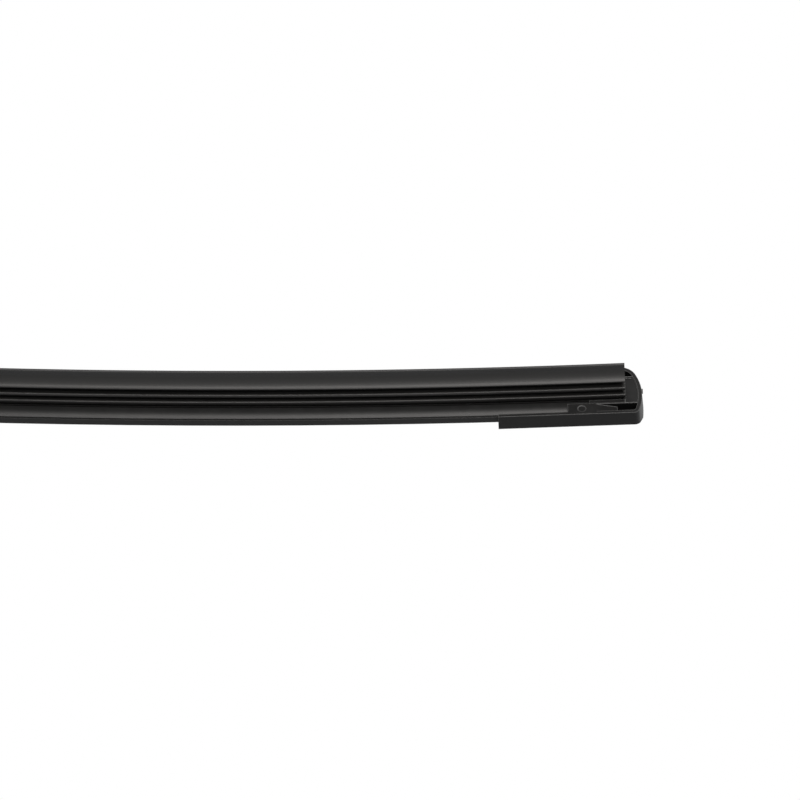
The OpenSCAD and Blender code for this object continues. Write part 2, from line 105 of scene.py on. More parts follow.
class NodeDesk:
    """Adds and joins shader nodes in one tree."""

    def __init__(self, tree: bpy.types.NodeTree) -> None:
        """Starts on a tree.

        Args:
            tree: The tree that the nodes go into.
        """
        self.tree = tree
        self.column = 0

    def add(self, kind: str, settings: dict | None = None, **values: object) -> bpy.types.Node:
        """Adds a node and sets its unlinked inputs.

        Args:
            kind: The node's type name.
            settings: Properties of the node itself.
            **values: Values or output sockets for the inputs, with spaces written as underscores.

        Returns:
            The new node.
        """
        node = self.tree.nodes.new(kind)
        node.location = (180 * self.column, 0)
        self.column += 1
        for name, value in (settings or {}).items():
            setattr(node, name, value)
        for name, value in values.items():
            self.feed(node.inputs[name.replace("_", " ")], value)
        return node

    def feed(self, socket: bpy.types.NodeSocket, value: object) -> None:
        """Links an output socket to an input, or sets the input's own value.

        Args:
            socket: The input socket.
            value: An output socket, a number, a vector or a colour.
        """
        if isinstance(value, bpy.types.NodeSocket):
            self.tree.links.new(value, socket)
        elif socket.type == "RGBA":
            socket.default_value = (*value, 1.0)
        else:
            socket.default_value = value

    def math(self, operation: str, first: object, second: object = 0.0,
             clamp: bool = False) -> bpy.types.NodeSocket:
        """Adds one Math node.

        Args:
            operation: Blender's name of the operation.
            first: First value or socket.
            second: Second value or socket.
            clamp: True to keep the result between 0 and 1.

        Returns:
            The result socket.
        """
        node = self.add("ShaderNodeMath", {"operation": operation, "use_clamp": clamp})
        self.feed(node.inputs[0], first)
        self.feed(node.inputs[1], second)
        return node.outputs[0]

    def ramp(self, value: object, low: object, high: object, start: float = 0.0,
             end: float = 1.0) -> bpy.types.NodeSocket:
        """Maps a value smoothly from one range to another.

        Args:
            value: The value socket.
            low: Value or socket that gives start.
            high: Value or socket that gives end.
            start: Result at low.
            end: Result at high.

        Returns:
            The result socket.
        """
        node = self.add("ShaderNodeMapRange", {"interpolation_type": "SMOOTHSTEP"})
        for socket, setting in zip(node.inputs, (value, low, high, start, end)):
            self.feed(socket, setting)
        return node.outputs[0]

    def tint(self, mask: object, first: object, second: object) -> bpy.types.NodeSocket:
        """Mixes two colours.

        Args:
            mask: 0 for the first colour, 1 for the second.
            first: First colour or socket.
            second: Second colour or socket.

        Returns:
            The mixed colour socket.
        """
        node = self.add("ShaderNodeMix", {"data_type": "RGBA"})
        self.feed(node.inputs[0], mask)
        self.feed(node.inputs[6], first)
        self.feed(node.inputs[7], second)
        return node.outputs[2]

    def seen(self) -> bpy.types.NodeSocket:
        """Tells what the camera sees, also in reflections and through glass, from plain light.

        Returns:
            The mask socket, 1 where it is seen.
        """
        path = self.add("ShaderNodeLightPath")
        mask = self.math("MAXIMUM", path.outputs["Is Camera Ray"], path.outputs["Is Glossy Ray"])
        return self.math("MAXIMUM", mask, path.outputs["Is Transmission Ray"])


class SharedEffect:
    """A node group that more than one finish uses. It is built once."""

    label = "effect"
    inputs: tuple[tuple[str, str, float], ...] = ()
    outputs: tuple[tuple[str, str], ...] = ()

    def group(self) -> bpy.types.NodeTree:
        """Builds the group on its first use.

        Returns:
            The group's tree.
        """
        made = bpy.data.node_groups.get(self.label)
        if made:
            return made
        tree = bpy.data.node_groups.new(self.label, "ShaderNodeTree")
        for name, kind, value in self.inputs:
            socket = tree.interface.new_socket(name, in_out="INPUT", socket_type=kind)
            if kind == "NodeSocketFloat":
                socket.default_value = value
        for name, kind in self.outputs:
            tree.interface.new_socket(name, in_out="OUTPUT", socket_type=kind)
        desk = NodeDesk(tree)
        entry = desk.add("NodeGroupInput")
        results = self.draw(desk, entry)
        leave = desk.add("NodeGroupOutput")
        for name, socket in results.items():
            desk.feed(leave.inputs[name], socket)
        return tree

    def draw(self, desk: NodeDesk, entry: bpy.types.Node) -> dict[str, object]:
        """Draws the group's inside.

        Args:
            desk: The desk on the group's tree.
            entry: The group's input node.

        Returns:
            The output sockets by name.
        """
        raise NotImplementedError

    def use(self, desk: NodeDesk, **values: object) -> bpy.types.Node:
        """Places the group in a material.

        Args:
            desk: The desk on the material's tree.
            **values: Values or sockets for the group's inputs.

        Returns:
            The group's node.
        """
        return desk.add("ShaderNodeGroup", {"node_tree": self.group()}, **values)


class BladeCoordinates(SharedEffect):
    """Unrolls the bow: gives along, across and height above the lip, in metres."""

    label = "blade_coordinates"
    outputs = (("Place", "NodeSocketVector"), ("Along", "NodeSocketFloat"),
               ("Across", "NodeSocketFloat"), ("Height", "NodeSocketFloat"))

    def draw(self, desk: NodeDesk, entry: bpy.types.Node) -> dict[str, object]:
        """Draws the polar coordinates round the bow's centre."""
        bow = Bow()
        place = desk.add("ShaderNodeTexCoord").outputs["Object"]
        split = desk.add("ShaderNodeSeparateXYZ", Vector=place)
        rise = desk.math("ADD", split.outputs["Z"], bow.drop)
        angle = desk.math("ARCTAN2", split.outputs["X"], rise)
        along = desk.math("MULTIPLY", angle, bow.radius)
        flat = desk.add("ShaderNodeCombineXYZ", X=split.outputs["X"], Z=rise)
        reach = desk.add("ShaderNodeVectorMath", {"operation": "LENGTH"})
        desk.feed(reach.inputs[0], flat.outputs[0])
        height = desk.math("SUBTRACT", reach.outputs["Value"], bow.radius)
        joined = desk.add("ShaderNodeCombineXYZ", X=along, Y=split.outputs["Y"], Z=height)
        return {"Place": joined.outputs[0], "Along": along, "Across": split.outputs["Y"],
                "Height": height}


class EdgeTouch(SharedEffect):
    """The small round that every real edge has, with a mask of where it is."""

    label = "edge_touch"
    inputs = (("Radius", "NodeSocketFloat", 0.2 * MM),)
    outputs = (("Normal", "NodeSocketVector"), ("Edge", "NodeSocketFloat"))

    def draw(self, desk: NodeDesk, entry: bpy.types.Node) -> dict[str, object]:
        """Draws the rounded normal and its difference from the face's own normal."""
        bevel = desk.add("ShaderNodeBevel", {"samples": 6}, Radius=entry.outputs["Radius"])
        plain = desk.add("ShaderNodeNewGeometry").outputs["Normal"]
        turn = desk.add("ShaderNodeVectorMath", {"operation": "DOT_PRODUCT"})
        desk.feed(turn.inputs[0], bevel.outputs[0])
        desk.feed(turn.inputs[1], plain)
        edge = desk.ramp(turn.outputs["Value"], low=0.99, high=0.88)
        return {"Normal": bevel.outputs[0], "Edge": edge}


class Grain(SharedEffect):
    """The fine relief of a surface: spark-eroded mould grain, or lines from an extrusion die."""

    label = "surface_grain"
    inputs = (("Place", "NodeSocketVector", 0.0), ("Cells per Metre", "NodeSocketFloat", 4000.0),
              ("Detail", "NodeSocketFloat", 2.0))
    outputs = (("Height", "NodeSocketFloat"), ("Mottle", "NodeSocketFloat"))
    broad_share = 0.045

    def draw(self, desk: NodeDesk, entry: bpy.types.Node) -> dict[str, object]:
        """Draws a fine noise, and a broad one with a small share of its cells."""
        fine = desk.add("ShaderNodeTexNoise", Vector=entry.outputs["Place"],
                        Scale=entry.outputs["Cells per Metre"], Detail=entry.outputs["Detail"],
                        Roughness=0.55)
        broad_scale = desk.math("MULTIPLY", entry.outputs["Cells per Metre"], self.broad_share)
        broad = desk.add("ShaderNodeTexNoise", Vector=entry.outputs["Place"], Scale=broad_scale,
                         Detail=3.0, Roughness=0.5)
        return {"Height": fine.outputs[0], "Mottle": broad.outputs[0]}


class Handling(SharedEffect):
    """Light handling marks: short hair scratches that run mostly along the blade."""

    label = "handling_marks"
    inputs = (("Place", "NodeSocketVector", 0.0), ("Amount", "NodeSocketFloat", 0.3))
    outputs = (("Mask", "NodeSocketFloat"),)

    def draw(self, desk: NodeDesk, entry: bpy.types.Node) -> dict[str, object]:
        """Draws thin lines where a stretched noise crosses its middle value, in patches."""
        stretch = desk.add("ShaderNodeMapping", Vector=entry.outputs["Place"],
                           Rotation=(0.0, 0.09, 0.06), Scale=(60.0, 900.0, 900.0))
        lines = desk.add("ShaderNodeTexNoise", Vector=stretch.outputs[0], Scale=1.0, Detail=1.0)
        middle = desk.math("ABSOLUTE", desk.math("SUBTRACT", lines.outputs[0], 0.5))
        thin = desk.ramp(middle, low=0.012, high=0.0)
        patches = desk.add("ShaderNodeTexNoise", Vector=entry.outputs["Place"], Scale=45.0,
                           Detail=2.0)
        where = desk.ramp(patches.outputs[0], low=0.52, high=0.7)
        mask = desk.math("MULTIPLY", desk.math("MULTIPLY", thin, where),
                         entry.outputs["Amount"], clamp=True)
        return {"Mask": mask}


class Band(SharedEffect):
    """A soft-edged band where a value lies between two limits."""

    label = "value_band"
    inputs = (("Value", "NodeSocketFloat", 0.0), ("Low", "NodeSocketFloat", 0.0),
              ("High", "NodeSocketFloat", 1.0), ("Softness", "NodeSocketFloat", 0.1))
    outputs = (("Mask", "NodeSocketFloat"),)

    def draw(self, desk: NodeDesk, entry: bpy.types.Node) -> dict[str, object]:
        """Draws two smooth steps and multiplies them."""
        value, soft = entry.outputs["Value"], entry.outputs["Softness"]
        low, high = entry.outputs["Low"], entry.outputs["High"]
        rise = desk.ramp(value, desk.math("SUBTRACT", low, soft), desk.math("ADD", low, soft))
        fall = desk.ramp(value, desk.math("SUBTRACT", high, soft), desk.math("ADD", high, soft),
                         start=1.0, end=0.0)
        return {"Mask": desk.math("MULTIPLY", rise, fall)}


@dataclass(frozen=True)
class Finish:
    """What every finish has: a name and a way to build its material.

    Attributes:
        name: Name of the material.
        colour: Base colour.
        roughness: Roughness of the plain surface.
        shine: Specular IOR level of the surface.
        edge_radius: Radius of the small round on the edges.
    """

    name: str = "finish"
    colour: Colour = (0.02, 0.02, 0.02)
    roughness: float = 0.45
    shine: float = 0.3
    edge_radius: float = 0.2 * MM

    def material(self) -> bpy.types.Material:
        """Builds the material, or returns the one already built.

        Returns:
            The material.
        """
        made = bpy.data.materials.get(self.name)
        if made:
            return made
        made = bpy.data.materials.new(self.name)
        made.use_nodes = True
        made.node_tree.nodes.clear()
        desk = NodeDesk(made.node_tree)
        shader = desk.add("ShaderNodeBsdfPrincipled", Specular_IOR_Level=self.shine)
        out = desk.add("ShaderNodeOutputMaterial")
        desk.feed(out.inputs["Surface"], shader.outputs[0])
        self.dress(desk, shader)
        return made

    def dress(self, desk: NodeDesk, shader: bpy.types.Node) -> None:
        """Feeds the shader with this finish's patterns.

        Args:
            desk: The desk on the material's tree.
            shader: The Principled shader.
        """
        raise NotImplementedError

    def scaled(self, factor: float, lift: float = 0.0) -> Colour:
        """Gives the base colour times a factor, plus a lift."""
        return tuple(factor * value + lift for value in self.colour)

    def clouds(self, desk: NodeDesk, pattern: object, most: float) -> bpy.types.NodeSocket:
        """Turns a broad noise into soft patches.

        Args:
            desk: The desk on the material's tree.
            pattern: The noise's socket.
            most: Highest value of the patches.

        Returns:
            The mask socket.
        """
        return desk.ramp(pattern, CLOUD_LOW, NOISE_HIGH, end=most)

    def varied(self, desk: NodeDesk, pattern: object, less: float,
               more: float) -> bpy.types.NodeSocket:
        """Varies the roughness with a noise.

        Args:
            desk: The desk on the material's tree.
            pattern: The noise's socket.
            less: How far the roughness goes down.
            more: How far it goes up.

        Returns:
            The roughness socket.
        """
        return desk.ramp(pattern, NOISE_LOW, NOISE_HIGH, self.roughness - less,
                         self.roughness + more)

    def coordinates(self, desk: NodeDesk,
                    lay: Lay = Lay.EVEN) -> tuple[bpy.types.Node, bpy.types.NodeSocket]:
        """Adds the blade coordinates, and a copy of them stretched for a pattern.

        Args:
            desk: The desk on the material's tree.
            lay: How the pattern lies.

        Returns:
            The coordinates node and the stretched place.
        """
        blade = BladeCoordinates().use(desk)
        if lay is Lay.EVEN:
            return blade, blade.outputs["Place"]
        stretch = desk.add("ShaderNodeVectorMath", {"operation": "MULTIPLY"})
        desk.feed(stretch.inputs[0], blade.outputs["Place"])
        desk.feed(stretch.inputs[1], lay.value)
        return blade, stretch.outputs[0]

    def relief(self, desk: NodeDesk, shader: bpy.types.Node, height: object, depth: float,
               edge: bpy.types.Node) -> None:
        """Feeds the shader's normal from a height and the rounded edges.

        Args:
            desk: The desk on the material's tree.
            shader: The Principled shader.
            height: Height socket, 0 to 1.
            depth: What a height of 1 means, in metres.
            edge: The edge group's node.
        """
        bump = desk.add("ShaderNodeBump", Strength=1.0, Distance=depth, Height=height,
                        Normal=edge.outputs["Normal"])
        desk.feed(shader.inputs["Normal"], bump.outputs[0])


@dataclass(frozen=True)
class MouldedFinish(Finish):
    """Black glass-filled plastic from a spark-eroded mould.

    Attributes:
        grain: Grain cells to the metre.
        grain_depth: Depth of the grain.
        part_line: Height of the mould's parting line above the lip, or a negative number for none.
        line_half: Half the width of the parting line.
        line_soft: Softness of its sides.
        line_rise: Its height, in depths of the grain.
        edge_highlight_strength: How strongly the edges show a painted highlight, which is a lighter
            base colour.
        polish: How much smoother an edge is.
    """

    grain: float = 3600.0
    grain_depth: float = 0.012 * MM
    part_line: float = -1.0
    line_half: float = 0.05 * MM
    line_soft: float = 0.03 * MM
    line_rise: float = 2.0
    edge_highlight_strength: float = 0.8
    polish: float = 0.16

    def dress(self, desk: NodeDesk, shader: bpy.types.Node) -> None:
        """Feeds grain, faint flow mottling, handling marks, edges with a painted highlight and a
        smoother finish, and a parting line.
        """
        blade, place = self.coordinates(desk)
        edge = EdgeTouch().use(desk, Radius=self.edge_radius)
        grain = Grain().use(desk, Place=place, Cells_per_Metre=self.grain)
        marks = Handling().use(desk, Place=place, Amount=0.35)
        mottle = self.clouds(desk, grain.outputs["Mottle"], most=0.35)
        body = desk.tint(mottle, self.colour, self.scaled(factor=1.6, lift=0.004))
        # Painted highlight: the edge mask lifts the edges' base colour towards the lighter colour
        # below, and it also lowers their roughness.
        edge_highlight = desk.math("MULTIPLY", edge.outputs["Edge"], self.edge_highlight_strength)
        # The lighter colour serves two things: real handling scratches, and the painted highlight
        # on the edges.
        worn = desk.tint(desk.math("MAXIMUM", edge_highlight, marks.outputs["Mask"]), body,
                         self.scaled(factor=2.2, lift=0.095))
        desk.feed(shader.inputs["Base Color"], worn)
        spread = self.varied(desk, grain.outputs["Mottle"], less=0.04, more=0.05)
        smooth = desk.math("SUBTRACT", spread, desk.math("MULTIPLY", edge_highlight, self.polish))
        desk.feed(shader.inputs["Roughness"], smooth)
        height = grain.outputs["Height"]
        if self.part_line > 0:
            line = Band().use(desk, Value=blade.outputs["Height"],
                              Low=self.part_line - self.line_half,
                              High=self.part_line + self.line_half, Softness=self.line_soft)
            raised = desk.math("MULTIPLY", line.outputs["Mask"], self.line_rise)
            height = desk.math("ADD", height, raised)
        self.relief(desk, shader, height, self.grain_depth, edge)


@dataclass(frozen=True)
class ExtrudedFinish(Finish):
    """Black elastomer drawn through a die: faint lines along the blade.

    Attributes:
        lines: Die lines to the metre across the section.
        line_depth: Depth of the die lines.
    """

    lines: float = 2600.0
    line_depth: float = 0.006 * MM

    def dress(self, desk: NodeDesk, shader: bpy.types.Node) -> None:
        """Feeds die lines, a faint bloom and soft edges."""
        blade, place = self.coordinates(desk, Lay.DRAWN)
        edge = EdgeTouch().use(desk, Radius=self.edge_radius)
        drawn = Grain().use(desk, Place=place, Cells_per_Metre=self.lines, Detail=3.0)
        skin = Grain().use(desk, Place=blade.outputs["Place"], Cells_per_Metre=5200.0)
        bloom = desk.ramp(skin.outputs["Mottle"], low=0.4, high=0.75, end=0.3)
        streak = self.clouds(desk, drawn.outputs["Mottle"], most=0.4)
        body = desk.tint(desk.math("MAXIMUM", bloom, streak), self.colour,
                         self.scaled(factor=1.5, lift=0.004))
        desk.feed(shader.inputs["Base Color"], body)
        spread = self.varied(desk, drawn.outputs["Mottle"], less=0.05, more=0.05)
        desk.feed(shader.inputs["Roughness"], spread)
        height = desk.math("ADD", drawn.outputs["Height"],
                           desk.math("MULTIPLY", skin.outputs["Height"], 0.5))
        self.relief(desk, shader, height, self.line_depth, edge)


@dataclass(frozen=True)
class LipFinish(Finish):
    """Wiping rubber: a treated, slightly greyer lip on a satin body, cut off square at the ends.

    Attributes:
        treated_height: Height above the lip's edge up to which the treatment shows.
        treated_fade: Height over which it fades.
        treated_colour: Colour of the treated lip.
        cut_at: Distance from the middle to the cut ends.
        cut_colour: Colour of the cut ends.
        line_depth: Depth of the extrusion lines.
    """

    treated_height: float = 2.2 * MM
    treated_fade: float = 1.4 * MM
    treated_colour: Colour = (0.034, 0.034, 0.035)
    cut_at: float = 244.6 * MM
    cut_colour: Colour = (0.022, 0.022, 0.022)
    line_depth: float = 0.006 * MM

    def dress(self, desk: NodeDesk, shader: bpy.types.Node) -> None:
        """Feeds extrusion lines, the treated lip and the torn grain of the cut ends."""
        blade, place = self.coordinates(desk, Lay.DRAWN)
        edge = EdgeTouch().use(desk, Radius=self.edge_radius)
        drawn = Grain().use(desk, Place=place, Cells_per_Metre=2200.0, Detail=3.0)
        skin = Grain().use(desk, Place=blade.outputs["Place"], Cells_per_Metre=4200.0)
        treated = desk.ramp(blade.outputs["Height"], self.treated_height,
                            self.treated_height - self.treated_fade)
        reach = desk.math("ABSOLUTE", blade.outputs["Along"])
        cut = desk.ramp(reach, self.cut_at - 0.06 * MM, self.cut_at - 0.01 * MM)
        streak = self.clouds(desk, drawn.outputs["Mottle"], most=0.35)
        body = desk.tint(streak, self.colour, self.scaled(factor=1.5, lift=0.004))
        dull = desk.tint(desk.math("MULTIPLY", treated, 0.5), body, self.treated_colour)
        desk.feed(shader.inputs["Base Color"], desk.tint(cut, dull, self.cut_colour))
        spread = self.varied(desk, drawn.outputs["Mottle"], less=0.04, more=0.04)
        matt = desk.math("MAXIMUM", desk.math("MULTIPLY", treated, 0.15),
                         desk.math("MULTIPLY", cut, 0.3))
        desk.feed(shader.inputs["Roughness"], desk.math("ADD", spread, matt))
        tear = desk.ramp(cut, low=0.0, high=1.0, start=0.4, end=3.0)
        torn = desk.math("MULTIPLY", skin.outputs["Height"], tear)
        height = desk.math("ADD", drawn.outputs["Height"], torn)
        self.relief(desk, shader, height, self.line_depth, edge)


@dataclass(frozen=True)
class CoatedSteelFinish(Finish):
    """Spring or sheet steel under a thin black coat, with bare metal on rubbed edges.

    Attributes:
        bare: Colour of the bare metal.
        wear: How much of the edges is bare, 0 to 1.
        scratches: How bare the handling marks are, 0 to 1.
        metal: Metallic value where the metal is bare.
        coat_depth: Depth of the coat's relief.
    """

    bare: Colour = (0.36, 0.36, 0.37)
    wear: float = 0.5
    scratches: float = 0.4
    metal: float = 0.9
    coat_depth: float = 0.004 * MM

    def dress(self, desk: NodeDesk, shader: bpy.types.Node) -> None:
        """Feeds coat mottling, scratches and bare edges."""
        _, place = self.coordinates(desk, Lay.DRAWN)
        _, even = self.coordinates(desk)
        edge = EdgeTouch().use(desk, Radius=self.edge_radius)
        coat = Grain().use(desk, Place=even, Cells_per_Metre=2600.0, Detail=4.0)
        drawn = Grain().use(desk, Place=place, Cells_per_Metre=2600.0)
        marks = Handling().use(desk, Place=even, Amount=0.5)
        broken = desk.math("MULTIPLY", edge.outputs["Edge"],
                           desk.ramp(coat.outputs["Height"], low=0.3, high=0.62))
        worn = desk.math("MAXIMUM", desk.math("MULTIPLY", broken, self.wear),
                         desk.math("MULTIPLY", marks.outputs["Mask"], self.scratches))
        mottle = self.clouds(desk, coat.outputs["Mottle"], most=0.4)
        body = desk.tint(mottle, self.colour, self.scaled(factor=1.7, lift=0.005))
        desk.feed(shader.inputs["Base Color"], desk.tint(worn, body, self.bare))
        desk.feed(shader.inputs["Metallic"], desk.math("MULTIPLY", worn, self.metal))
        spread = self.varied(desk, coat.outputs["Mottle"], less=0.05, more=0.06)
        desk.feed(shader.inputs["Roughness"], spread)
        height = desk.math("ADD", coat.outputs["Height"], drawn.outputs["Height"])
        self.relief(desk, shader, height, self.coat_depth, edge)


@dataclass(frozen=True)
class TurnedSteelFinish(Finish):
    """Plain steel of a riveted pin, with turning rings round its axis.

    Attributes:
        ring_depth: Depth of the turning rings.
    """

    ring_depth: float = 0.004 * MM

    def dress(self, desk: NodeDesk, shader: bpy.types.Node) -> None:
        """Feeds turning rings, a slight tarnish and bright edges."""
        place = desk.add("ShaderNodeTexCoord").outputs["Object"]
        split = desk.add("ShaderNodeSeparateXYZ", Vector=place)
        flat = desk.add("ShaderNodeCombineXYZ", X=split.outputs["X"], Z=split.outputs["Z"])
        radius = desk.add("ShaderNodeVectorMath", {"operation": "LENGTH"})
        desk.feed(radius.inputs[0], flat.outputs[0])
        rings = desk.add("ShaderNodeTexNoise", {"noise_dimensions": "1D"}, Scale=9000.0, Detail=2.0)
        desk.feed(rings.inputs["W"], radius.outputs["Value"])
        edge = EdgeTouch().use(desk, Radius=self.edge_radius)
        tarnish = Grain().use(desk, Place=place, Cells_per_Metre=2400.0, Detail=4.0)
        shade = desk.ramp(tarnish.outputs["Mottle"], NOISE_LOW, NOISE_HIGH, end=0.5)
        body = desk.tint(shade, self.colour, self.scaled(factor=0.6))
        desk.feed(shader.inputs["Base Color"], body)
        spread = self.varied(desk, rings.outputs[0], less=0.06, more=0.1)
        desk.feed(shader.inputs["Roughness"], spread)
        desk.feed(shader.inputs["Metallic"], 1.0)
        self.relief(desk, shader, rings.outputs[0], self.ring_depth, edge)


@dataclass
class WipingRubber:
    """The soft element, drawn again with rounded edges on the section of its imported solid.

    Attributes:
        bow: The blade's bow.
        half_length: Distance from the middle to the cut end.
        lip: Thickness of the lip at its edge.
        land: Straight height of the lip.
        shoulder: Width over the shoulder.
        shoulder_z: Height of the shoulder's outer edge.
        shoulder_edge: Thickness of the shoulder's edge.
        web: Thickness of the tilting web.
        lower_flange: Width over the lower flange.
        lower_z: Height of its underside.
        lower_edge: Thickness of its edge.
        upper_flange: Width over the upper flange.
        upper_z: Height of its underside.
        upper_edge: Thickness of its edge.
        neck: Width of the neck.
        head: Width of the head that the rails grip.
        groove_floor: Width of rubber between the rails.
        groove_low: Height of the rail groove's lower side.
        groove_high: Height of the rail groove's upper side.
        head_low: Height of the head's underside.
        head_high: Height of the head's top.
        ring_step: Distance between two rings of the mesh.
        flare_steps: Straight pieces that stand for the hollow flank.
        shoulder_rise: Rise of the shoulder's top from its edge to the web.
        flange_rise: Rise of a flange's top from its edge to the web or the neck.
        smooth_degrees: Angle up to which neighbouring faces are shaded as one.
    """

    bow: Bow = field(default_factory=Bow)
    half_length: float = 244.6 * MM
    lip: float = 0.75 * MM
    land: float = 1.0 * MM
    shoulder: float = 5.6 * MM
    shoulder_z: float = 4.4 * MM
    shoulder_edge: float = 0.45 * MM
    web: float = 1.1 * MM
    lower_flange: float = 6.3 * MM
    lower_z: float = 6.65 * MM
    lower_edge: float = 1.0 * MM
    upper_flange: float = 7.1 * MM
    upper_z: float = 9.05 * MM
    upper_edge: float = 1.2 * MM
    neck: float = 3.2 * MM
    head: float = 6.8 * MM
    groove_floor: float = 5.1 * MM
    groove_low: float = 12.15 * MM
    groove_high: float = 13.15 * MM
    head_low: float = 11.0 * MM
    head_high: float = 14.2 * MM
    ring_step: float = 6.0 * MM
    flare_steps: int = 7
    shoulder_rise: float = 0.5 * MM
    flange_rise: float = 0.3 * MM
    smooth_degrees: float = 32.0

    def flare(self) -> list[Corner]:
        """Draws the hollow-curved flank from the lip up to the shoulder.

        Returns:
            Corners as across, height and rounding radius.
        """
        low, high = (self.lip / 2, self.land), (self.shoulder / 2, self.shoulder_z)
        run, rise = high[0] - low[0], high[1] - low[1]
        radius = (run**2 + rise**2) / (2 * run)
        sweep = 2 * math.atan2(run, rise)
        points = []
        for step in range(1, self.flare_steps):
            angle = sweep * step / self.flare_steps
            across = low[0] + radius * (1 - math.cos(angle))
            points.append((across, low[1] + radius * math.sin(angle), 0.0))
        return points

    def corners(self) -> list[Corner]:
        """Lists the section's corners on the front side, from the lip's edge to the head's top.

        Returns:
            Corners as across, height and rounding radius.
        """
        half_lip, half_shoulder, half_web = self.lip / 2, self.shoulder / 2, self.web / 2
        lower, upper, neck = self.lower_flange / 2, self.upper_flange / 2, self.neck / 2
        head, floor = self.head / 2, self.groove_floor / 2
        shoulder_top = self.shoulder_z + self.shoulder_edge
        lower_top, upper_top = self.lower_z + self.lower_edge, self.upper_z + self.upper_edge
        return [
            (half_lip, 0.0, 0.04 * MM), (half_lip, self.land, 0.0), *self.flare(),
            (half_shoulder, self.shoulder_z, 0.14 * MM), (half_shoulder, shoulder_top, 0.14 * MM),
            (half_web, shoulder_top + self.shoulder_rise, 0.2 * MM),
            (half_web, self.lower_z, 0.15 * MM),
            (lower, self.lower_z, 0.4 * MM), (lower, lower_top, 0.25 * MM),
            (half_web, lower_top + self.flange_rise, 0.2 * MM), (half_web, self.upper_z, 0.15 * MM),
            (upper, self.upper_z, 0.28 * MM), (upper, upper_top, 0.25 * MM),
            (neck, upper_top + self.flange_rise, 0.15 * MM), (neck, self.head_low, 0.0),
            (head, self.head_low, 0.1 * MM), (head, self.groove_low, 0.0),
            (floor, self.groove_low, 0.0), (floor, self.groove_high, 0.0),
            (head, self.groove_high, 0.0), (head, self.head_high, 0.2 * MM),
        ]

    def outline(self) -> list[Point]:
        """Rounds the corners and mirrors them into the closed section.

        Returns:
            The section's points, once round.
        """
        front = self.corners()
        path = [(-front[0][0], 0.0, 0.0), *front, (-front[-1][0], front[-1][1], 0.0)]
        half: list[Point] = []
        for before, corner, after in zip(path, path[1:], path[2:]):
            half.extend(self.rounded(before, corner, after))
        return half + [(-across, height) for across, height in reversed(half)]

    @staticmethod
    def rounded(before: Corner, corner: Corner, after: Corner) -> list[Point]:
        """Replaces one corner by a short arc of three points.

        Args:
            before: The corner before.
            corner: The corner to round, with its radius.
            after: The corner after.

        Returns:
            The points that stand for the corner.
        """
        if corner[2] == 0.0:
            return [(corner[0], corner[1])]
        middle = Vector(corner[:2])
        to_before = (Vector(before[:2]) - middle).normalized()
        to_after = (Vector(after[:2]) - middle).normalized()
        opening = to_before.angle(to_after)
        reach = corner[2] / math.tan(opening / 2)
        start, end = middle + to_before * reach, middle + to_after * reach
        inward = (to_before + to_after).normalized()
        centre = middle + inward * (corner[2] / math.sin(opening / 2))
        peak = centre - inward * corner[2]
        return [tuple(start), tuple(peak), tuple(end)]

    def build(self, finish: Finish) -> bpy.types.Object:
        """Sweeps the section along the bow.

        Args:
            finish: The rubber's finish.

        Returns:
            The finished piece.
        """
        section = self.outline()
        count = math.ceil(2 * self.half_length / self.ring_step)
        shape = bmesh.new()
        rings = []
        for index in range(count + 1):
            along = -self.half_length + 2 * self.half_length * index / count
            rings.append([shape.verts.new(self.bow.place(along, across, height))
                          for across, height in section])
        size = len(section)
        for ring, following in zip(rings, rings[1:]):
            for index in range(size):
                after = (index + 1) % size
                shape.faces.new((ring[index], following[index], following[after], ring[after]))
        shape.faces.new(rings[0])
        shape.faces.new(list(reversed(rings[-1])))
        bmesh.ops.recalc_face_normals(shape, faces=shape.faces)
        mesh = bpy.data.meshes.new("wiping_rubber_section")
        shape.to_mesh(mesh)
        shape.free()
        for face in mesh.polygons:
            face.use_smooth = len(face.vertices) == 4
        mesh.set_sharp_from_angle(angle=math.radians(self.smooth_degrees))
        piece = bpy.data.objects.new("wiping_rubber_soft", mesh)
        bpy.context.scene.collection.objects.link(piece)
        mesh.materials.append(finish.material())
        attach(piece, "blade")
        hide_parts("wiping_rubber")
        return piece


@dataclass
class DressedNodes:
    """CAD nodes that keep their shape and get one finish.

    Attributes:
        title: What the log calls the sub-assembly.
        nodes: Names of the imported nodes.
        finish: The finish for all of them.
    """

    title: str
    nodes: tuple[str, ...]
    finish: Finish

    def build(self) -> list[bpy.types.Object]:
        """Puts the finish on each node.

        Returns:
            The dressed objects.
        """
        material = self.finish.material()
        dressed = []
        for name in self.nodes:
            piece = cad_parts[name]
            piece.data.materials.clear()
            piece.data.materials.append(material)
            for face in piece.data.polygons:
                face.material_index = 0
            dressed.append(piece)
        return dressed


